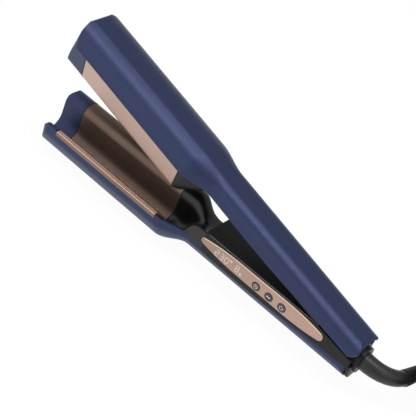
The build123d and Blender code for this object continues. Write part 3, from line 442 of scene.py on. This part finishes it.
# %% Seven bars
digit_width, digit_height = 2.7, 5.4
digit_lean = 0.10
bar_width = 0.36
bar_gap = 0.07
bars = {
    "top": ((0, 1), (1, 1)),
    "middle": ((0, 0.5), (1, 0.5)),
    "bottom": ((0, 0), (1, 0)),
    "high left": ((0, 0.5), (0, 1)),
    "high right": ((1, 0.5), (1, 1)),
    "low left": ((0, 0), (0, 0.5)),
    "low right": ((1, 0), (1, 0.5)),
}
bars_of = {
    "2": ["top", "high right", "middle", "low left", "bottom"],
    "3": ["top", "high right", "middle", "low right", "bottom"],
    "0": ["top", "high right", "low right", "bottom", "low left", "high left"],
    "8": list(bars),
}
print("figures that can be lit", list(bars_of))


# %% A digit
def digit(text, x, z):
    """A ribbon for each bar. An end is at width times its first number and height times its second,
    moved on by height times the lean; each bar loses its gap's share of its length at both ends."""
    made = []
    for bar in bars_of[text]:
        ends = np.array(bars[bar], float) * (digit_width, digit_height)
        ends[:, 0] += ends[:, 1] * digit_lean
        gap = (ends[1] - ends[0]) * bar_gap
        made.append(ribbon([ends[0] + gap + (x, z), ends[1] - gap + (x, z)], bar_width))
    return made


# %% Lay the digits on the panel
panel_low, panel_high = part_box("control_panel")
panel_left, panel_face = panel_low[0] / MM, panel_low[1] / MM
first_digit, digit_pitch = panel_left + 13.7, 4.6
degree_x, last_digit, unit_x = first_digit + 14.6, first_digit + 19.2, first_digit + 24.6
digit_foot = 28.0
ring_line = 0.4

lit = []
for i, text in enumerate("230"):
    lit += digit(text, first_digit + i * digit_pitch, digit_foot)
lit.append(ribbon(ring((degree_x, digit_foot + digit_height - 0.4), 0.75), ring_line))
lit += digit("8", last_digit, digit_foot + 0.4)
lit.append(ribbon(ring((unit_x, digit_foot + 0.9), 0.8), ring_line))
sign("display_digits", lit, panel_face, "lower_arm", glow)

# %% [markdown]
# ## The painted highlight on the panel's edge
# The panel's upper edge catches the lamp as a fine line that follows the leaf shape. A bevel on the
# solid would be too fine to catch light from far off, so this highlight is painted: a pale ribbon a
# little inside the edge, along the same leaf, drawn from its half width at five stations.

# %% The leaf's stations
leaf_x = np.array([1.8, 16.5, 56.25, 101.5, 110.7]) + panel_left
leaf_half = np.array([2.6, 4.95, 6.1, 4.95, 3.3])
panel_middle = (panel_low[2] + panel_high[2]) / 2 / MM
print("leaf from", leaf_x[0].round(1), "to", leaf_x[-1].round(1), "mm")


# %% Painted edge highlight line
def smooth_through(x, stations, values):
    """With t from 0 to 1 between two stations, the first value counts 2t^3 - 3t^2 + 1 and the next
    3t^2 - 2t^3, and the slopes at both count t^3 - 2t^2 + t and t^3 - t^2 times the run."""
    slopes = np.gradient(values, stations)
    i = np.clip(np.searchsorted(stations, x) - 1, 0, len(stations) - 2)
    run = stations[i + 1] - stations[i]
    t = (x - stations[i]) / run
    start = (2 * t**3 - 3 * t**2 + 1) * values[i] + (t**3 - 2 * t**2 + t) * run * slopes[i]
    return start + (3 * t**2 - 2 * t**3) * values[i + 1] + (t**3 - t**2) * run * slopes[i + 1]


edge_inset, edge_width = 0.5, 0.75
end_gap = 0.4
edge_x = np.linspace(leaf_x[0] + end_gap, leaf_x[-1] - end_gap, 60)
edge_z = panel_middle + smooth_through(edge_x, leaf_x, leaf_half) - edge_inset
edge_highlight_line = ribbon(np.stack([edge_x, edge_z], axis=1), edge_width)
# A pale gold ribbon: painted highlight along the panel's upper edge.
edge_highlight_paint = finish("painted_edge_highlight", screen(240, 212, 186), 0.3, lines, 0.1, metallic=0.4)
sign("panel_edge_highlight", [edge_highlight_line], panel_face, "lower_arm", edge_highlight_paint)

# %% [markdown]
# ## The key signs
# A clock stands for the timer, a pair of arrows for down and up, and a broken ring with a stroke for
# power. On the tool they are printed on the keys, so each lies on its own key and rides with it.

# %% Helpers for the key signs
sign_line = 0.4


def key_centre(name):
    """The middle of a key in X and Z, and the Y of its face: half the sum of its box's corners."""
    low, high = np.array(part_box(name)) / MM
    middle = (low + high) / 2
    return (middle[0], middle[2]), low[1]


def arrow(tip, back, half):
    """A filled triangle: four corners at the back and the tip, plus or minus a half height that is
    nearly nothing at the tip. It takes the sign of the arrow's way, so that the face turns out."""
    half = math.copysign(half, tip[0] - back[0])
    blunt = 0.02 * half
    corners = [
        (back[0], back[1] - half),
        (tip[0], tip[1] - blunt),
        (tip[0], tip[1] + blunt),
        (back[0], back[1] + half),
    ]
    return np.array(corners), np.array([[0, 1, 2, 3]])


# %% The timer's clock
clock_radius, hand_line = 1.6, 0.36
(x, z), face = key_centre("timer_button")
hands = [(x, z + 1.1), (x, z), (x + 0.8, z - 0.3)]
clock = [ribbon(ring((x, z), clock_radius), sign_line), ribbon(hands, hand_line)]
sign("timer_sign", clock, face, "timer_button", ink)

# %% The temperature's arrows
arrow_tip, arrow_back, arrow_half = 2.0, 0.35, 0.95
(x, z), face = key_centre("temperature_button")
arrows = [arrow((x + way * arrow_tip, z), (x + way * arrow_back, z), arrow_half) for way in (-1, 1)]
sign("temperature_sign", arrows, face, "temperature_button", ink)

# %% The power sign
power_radius = 1.5
(x, z), face = key_centre("power_button")
broken_ring = ring((x, z), power_radius, start=125, end=415)
stroke = [(x, z + 0.3), (x, z + 2.0)]
power = [ribbon(broken_ring, sign_line), ribbon(stroke, sign_line)]
sign("power_sign", power, face, "power_button", ink)

# %% [markdown]
# ## The lead's way
# The lead leaves the strain relief towards +Y, comes down to the table and is put away in a neat
# coil of four layers with its plug lying on top. It could be a helix with straight ends, but then
# it kinks where they meet. Here it is one smooth curve. The way to the coil and the free end are
# walked leg by leg, as the solids' own route is. The coil's turns are worked out, wound inwards in
# one layer and outwards in the next.

# %% Measures of the lead
cord_radius, cord_rest = 3.25, 3.35
step, last_step = 13.0, 28.0
turn_per_step = 18.0
relief_end, relief_heading = (182.71, 42.97, 16.56), 80.0
coil_radius = 41.5
turns_per_layer, rise_turns = 1.25, 0.4
layers, layer_height = 4, 6.15
points_per_turn = 24
print("lead", 2 * cord_radius, "mm thick, coil", 2 * coil_radius, "mm across,", layers, "layers")


# %% The way to the coil
def walked(start, heading, legs):
    """Points of a route that turns right by so much, runs on and climbs, leg after leg: each point
    is the last plus the run times the cosine and sine of the heading, and never below the table."""
    points = [start]
    for turn, run, climb in legs:
        heading -= turn
        x, y, z = points[-1]
        x += run * math.cos(math.radians(heading))
        y += run * math.sin(math.radians(heading))
        points.append((x, y, max(cord_rest, z + run * climb)))
    return points, heading


lead_legs = [(0, step, -0.196)] + [(turn_per_step, step, -0.3)] * 3
lead_legs += [(turn_per_step, step, -0.15)] * 2 + [(0.7 * turn_per_step, last_step, 0)]
lead_points, lead_heading = walked(relief_end, relief_heading, lead_legs)
start_angle = lead_heading - 0.45 * turn_per_step + 90
coil_centre = (
    lead_points[-1][0] - coil_radius * math.cos(math.radians(start_angle)),
    lead_points[-1][1] - coil_radius * math.sin(math.radians(start_angle)),
)
print("lead points", len(lead_points), "coil centre", [round(v, 1) for v in coil_centre])


# %% The coil's turns
def coil_turns():
    """A flat spiral in layers: in each layer the radius goes evenly from the outside to the inside,
    or back; between two layers the line climbs by a smooth step while the angle runs clockwise."""
    total = layers * turns_per_layer + (layers - 1) * rise_turns
    t = np.linspace(0, total, int(total * points_per_turn) + 1)
    layer = np.minimum(t // (turns_per_layer + rise_turns), layers - 1)
    part = t - layer * (turns_per_layer + rise_turns)
    inwards = np.clip(part / turns_per_layer, 0, 1)
    share = np.where(layer % 2 == 0, inwards, 1 - inwards)
    radius = coil_radius - 2 * cord_radius * turns_per_layer * share
    climb = np.clip((part - turns_per_layer) / rise_turns, 0, 1)
    height = cord_rest + layer_height * (layer + climb * climb * (3 - 2 * climb))
    angle = np.radians(start_angle - 360 * t)
    x = coil_centre[0] + radius * np.cos(angle)
    y = coil_centre[1] + radius * np.sin(angle)
    return np.stack([x, y, height], axis=1), math.degrees(angle[-1])


coil_points, end_angle = coil_turns()
print("coil points", len(coil_points), "end height", round(float(coil_points[-1][2]), 1), "mm")

# %% The free end and the whole route
tail_legs = [(turn_per_step / 2, step, 0.07)] + [(turn_per_step + 1, step, 0.14)] * 5
tail_legs += [(turn_per_step + 1, step, 0.05)]
tail_points, plug_heading = walked(tuple(coil_points[-1]), end_angle - 90, tail_legs)
route = np.vstack([lead_points[:-1], coil_points, tail_points[1:]]) * MM
route_length = float(np.linalg.norm(np.diff(route, axis=0), axis=1).sum())
print("route points", len(route), "length", round(route_length, 3), "m")

# %% [markdown]
# ## The plug's pins
# Each pin is turned from rod: a black sleeve covers its root, and its end is rounded, so that it
# finds its hole. A turned piece is a profile of radii along its axis, carried round in a circle.

# %% The profile of a pin
plug_length, pin_spacing = 34.0, 19.0
pin_radius, pin_length, sleeve_length = 2.0, 19.0, 10.0
bare_radius = 0.92 * pin_radius
tip_angle = np.radians(np.linspace(0, 80, 7))
tip_along = pin_length - pin_radius + pin_radius * np.sin(tip_angle)
pin_along = np.concatenate([[0, sleeve_length, sleeve_length], tip_along])
pin_radii = np.concatenate([
    [pin_radius, pin_radius, bare_radius],
    bare_radius * np.cos(tip_angle),
])
print("pin profile points", len(pin_along))


# %% Turned pieces
def turned(along, radii, count=32):
    """A turned piece along +X: every profile point goes round by x = along, y = radius times the
    cosine and z = radius times the sine of the angle. It gives the points, the faces round the
    sides, ring after ring, and the two faces that close the ends."""
    angles = np.linspace(0, 2 * np.pi, count, endpoint=False)
    points = np.stack([
        np.repeat(along, count),
        np.outer(radii, np.cos(angles)).ravel(),
        np.outer(radii, np.sin(angles)).ravel(),
    ], axis=1)
    rings = len(along)
    i, j = np.indices((rings - 1, count)).reshape(2, -1)
    here = i * count + j
    after = i * count + (j + 1) % count
    sides = np.stack([after, after + count, here + count, here], axis=1)
    first = np.arange(count)
    ends = np.stack([first[::-1], first + (rings - 1) * count])
    return points, sides, ends


# %% Where the pins stand
heading = math.radians(plug_heading)
forward = np.array([math.cos(heading), math.sin(heading), 0])
sideways = np.array([-forward[1], forward[0], 0])
plug_front = np.array(tail_points[-1]) + plug_length * forward
half_spacing = pin_spacing / 2 * sideways
print("plug front", plug_front.round(1).tolist(), "heading", round(plug_heading % 360, 1))

# %% Both pins
pin, sides, ends = turned(pin_along, pin_radii)
pin = pin @ np.array([forward, sideways, (0, 0, 1)])
pin_points = np.vstack([plug_front - half_spacing + pin, plug_front + half_spacing + pin])
pin_sides = np.vstack([sides, sides + len(pin)])
pin_ends = np.vstack([ends, ends + len(pin)])
pins = mesh_piece(
    "plug_pins_turned", pin_points, pin_sides.tolist() + pin_ends.tolist(),
    finishes["brass"], finishes["cord_rubber"],
)
print("pins reach", np.round(pin_points.max(axis=0), 2).tolist())

# %% Sleeves and place of the pins
faces_round = len(ends[0])
sleeved = np.zeros(len(pins.data.polygons), dtype=np.int32)
sleeved[:faces_round] = 1
sleeved[len(sides):len(sides) + faces_round] = 1
pins.data.polygons.foreach_set("material_index", sleeved)
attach(pins, "lower_arm")
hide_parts("plug_pins")
print("sleeved faces", int(sleeved.sum()), "of", len(sleeved))

# %% [markdown]
# ## The painted highlight on the block's edge
# The black block in the handle catches the lamp as a thin line along its rounded upper edge. The
# line
# is painted: a long turned rod of lighter grey, half sunk into the middle of the rounding.

# %% Painted highlight rod
block_low, block_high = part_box("handle_housing")
edge_radius, highlight_rod_radius = 1.2, 0.22
highlight_start, highlight_end = 16.0, 112.0
run_in, run_out = 0.3, 6.0
inset = edge_radius * (1 - math.cos(math.radians(45)))
highlight_along = np.array([highlight_start, highlight_start + run_in, highlight_end - run_out, highlight_end])
highlight_radii = highlight_rod_radius * np.array([0.6, 1, 1, 0.2])
rod, sides, ends = turned(highlight_along, highlight_radii, count=10)
rod += (0, block_low[1] / MM + inset, block_high[2] / MM - inset)
# Lighter grey than the black housing: painted highlight on the edge's rounding.
block_edge_highlight_paint = finish("painted_block_edge_highlight", screen(96, 96, 94), 0.35, grain, 0.2)
highlight_rod = mesh_piece("housing_edge_highlight", rod, sides.tolist() + ends.tolist(), block_edge_highlight_paint)
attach(highlight_rod, "lower_arm")
print("bead from", highlight_start, "to", highlight_end, "mm along the block")

# %% [markdown]
# ## The lead's sheath
# The lead is a round rubber sheath over two cores. A curve with a round section is the plainest way
# to make it, because the section stays round at every bend. It rides with the lower arm and takes
# the place of the solids' lead, closed coil and free end.

# %% Sheath
curve = bpy.data.curves.new("mains_lead", "CURVE")
curve.dimensions = "3D"
curve.bevel_depth = cord_radius * MM
curve.bevel_resolution = 5
curve.use_fill_caps = True
curve.materials.append(finishes["cord_rubber"])
spline = curve.splines.new("NURBS")
spline.points.add(len(route) - 1)
spline.points.foreach_set("co", np.column_stack([route, np.ones(len(route))]).ravel())
spline.order_u = 3
spline.use_endpoint_u = True
spline.resolution_u = 6
lead = in_scene("mains_lead", curve)
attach(lead, "lower_arm")
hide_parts("cord", "cord_coil", "cord_tail")
print("lead laid with", len(spline.points), "points")

# %% [markdown]
# ## The table and the background
# The tool lies on a plain white table that fades into a white background. A pale table under
# lamps alone would be grey. To the camera, and in reflections, it is mostly its own white light, so
# that it stays white, and the small rest keeps the tool's shadow.

# %% The table's white
own_share, own_strength = 0.93, 1.02
white = bpy.data.materials.new("table_white")
white.use_nodes = True
tree = white.node_tree
paint = tree.nodes["Principled BSDF"]
paint.inputs["Base Color"].default_value = (0.86, 0.86, 0.86, 1)
paint.inputs["Roughness"].default_value = 0.9
paint.inputs["Specular IOR Level"].default_value = 0.1
own_light = tree.nodes.new("ShaderNodeEmission")
own_light.inputs["Strength"].default_value = own_strength
ray = tree.nodes.new("ShaderNodeLightPath")
seen = reckoned(tree, "MAXIMUM", ray.outputs["Is Camera Ray"], ray.outputs["Is Glossy Ray"])
seen = reckoned(tree, "MAXIMUM", seen, ray.outputs["Is Transmission Ray"])
mixed = tree.nodes.new("ShaderNodeMixShader")
tree.links.new(reckoned(tree, "MULTIPLY", seen, own_share), mixed.inputs["Fac"])
tree.links.new(paint.outputs["BSDF"], mixed.inputs[1])
tree.links.new(own_light.outputs["Emission"], mixed.inputs[2])
tree.links.new(mixed.outputs["Shader"], tree.nodes["Material Output"].inputs["Surface"])
print("table material", white.name)

# %% Table
table_half, table_top = 2500.0, -0.4
corners = np.array([(-1, -1, 0), (1, -1, 0), (1, 1, 0), (-1, 1, 0)]) * table_half
corners[:, 2] = table_top
table = mesh_piece("table_top", corners, [(0, 1, 2, 3)], white)
print("table", 2 * table_half * MM, "m across")

# %% The room's light and the white behind
world = bpy.data.worlds.new("studio")
bpy.context.scene.world = world
world.use_nodes = True
tree = world.node_tree
room = tree.nodes["Background"]
room.inputs["Color"].default_value = (0.95, 0.97, 1.0, 1)
room.inputs["Strength"].default_value = 0.5
behind = tree.nodes.new("ShaderNodeBackground")
behind.inputs["Color"].default_value = (1, 1, 1, 1)
behind.inputs["Strength"].default_value = 1.0
ray = tree.nodes.new("ShaderNodeLightPath")
mixed = tree.nodes.new("ShaderNodeMixShader")
tree.links.new(ray.outputs["Is Camera Ray"], mixed.inputs["Fac"])
tree.links.new(room.outputs["Background"], mixed.inputs[1])
tree.links.new(behind.outputs["Background"], mixed.inputs[2])
tree.links.new(mixed.outputs["Shader"], tree.nodes["World Output"].inputs["Surface"])
print("room strength", room.inputs["Strength"].default_value)

# %% [markdown]
# ## Lamps
# Long soft boxes draw the long soft stripes on a lacquered tube, where a small lamp would only leave
# a spot. One is above and behind, one is low in front for the near walls, and a weak one fills in
# from the right.

# %% Soft boxes
lamp_target = (0, 0, 0.03)


def soft_box(name, place, width, height, watts):
    """A rectangular lamp that shines along the way from its place to the middle of the tool."""
    lamp = bpy.data.lights.new(name, "AREA")
    lamp.shape = "RECTANGLE"
    lamp.size = width
    lamp.size_y = height
    lamp.energy = watts
    holder = in_scene(name, lamp)
    way = Vector(lamp_target) - Vector(place)
    holder.rotation_euler = way.to_track_quat("-Z", "Y").to_euler()
    holder.location = place
    print(name, watts, "W")


soft_box("top_box", (0.05, -0.1, 1.2), 1.5, 0.2, 8.0)
soft_box("front_box", (-0.5, -1.0, 0.4), 1.8, 1.2, 5.0)
soft_box("side_box", (1.0, -0.2, 0.7), 0.8, 0.6, 1.5)
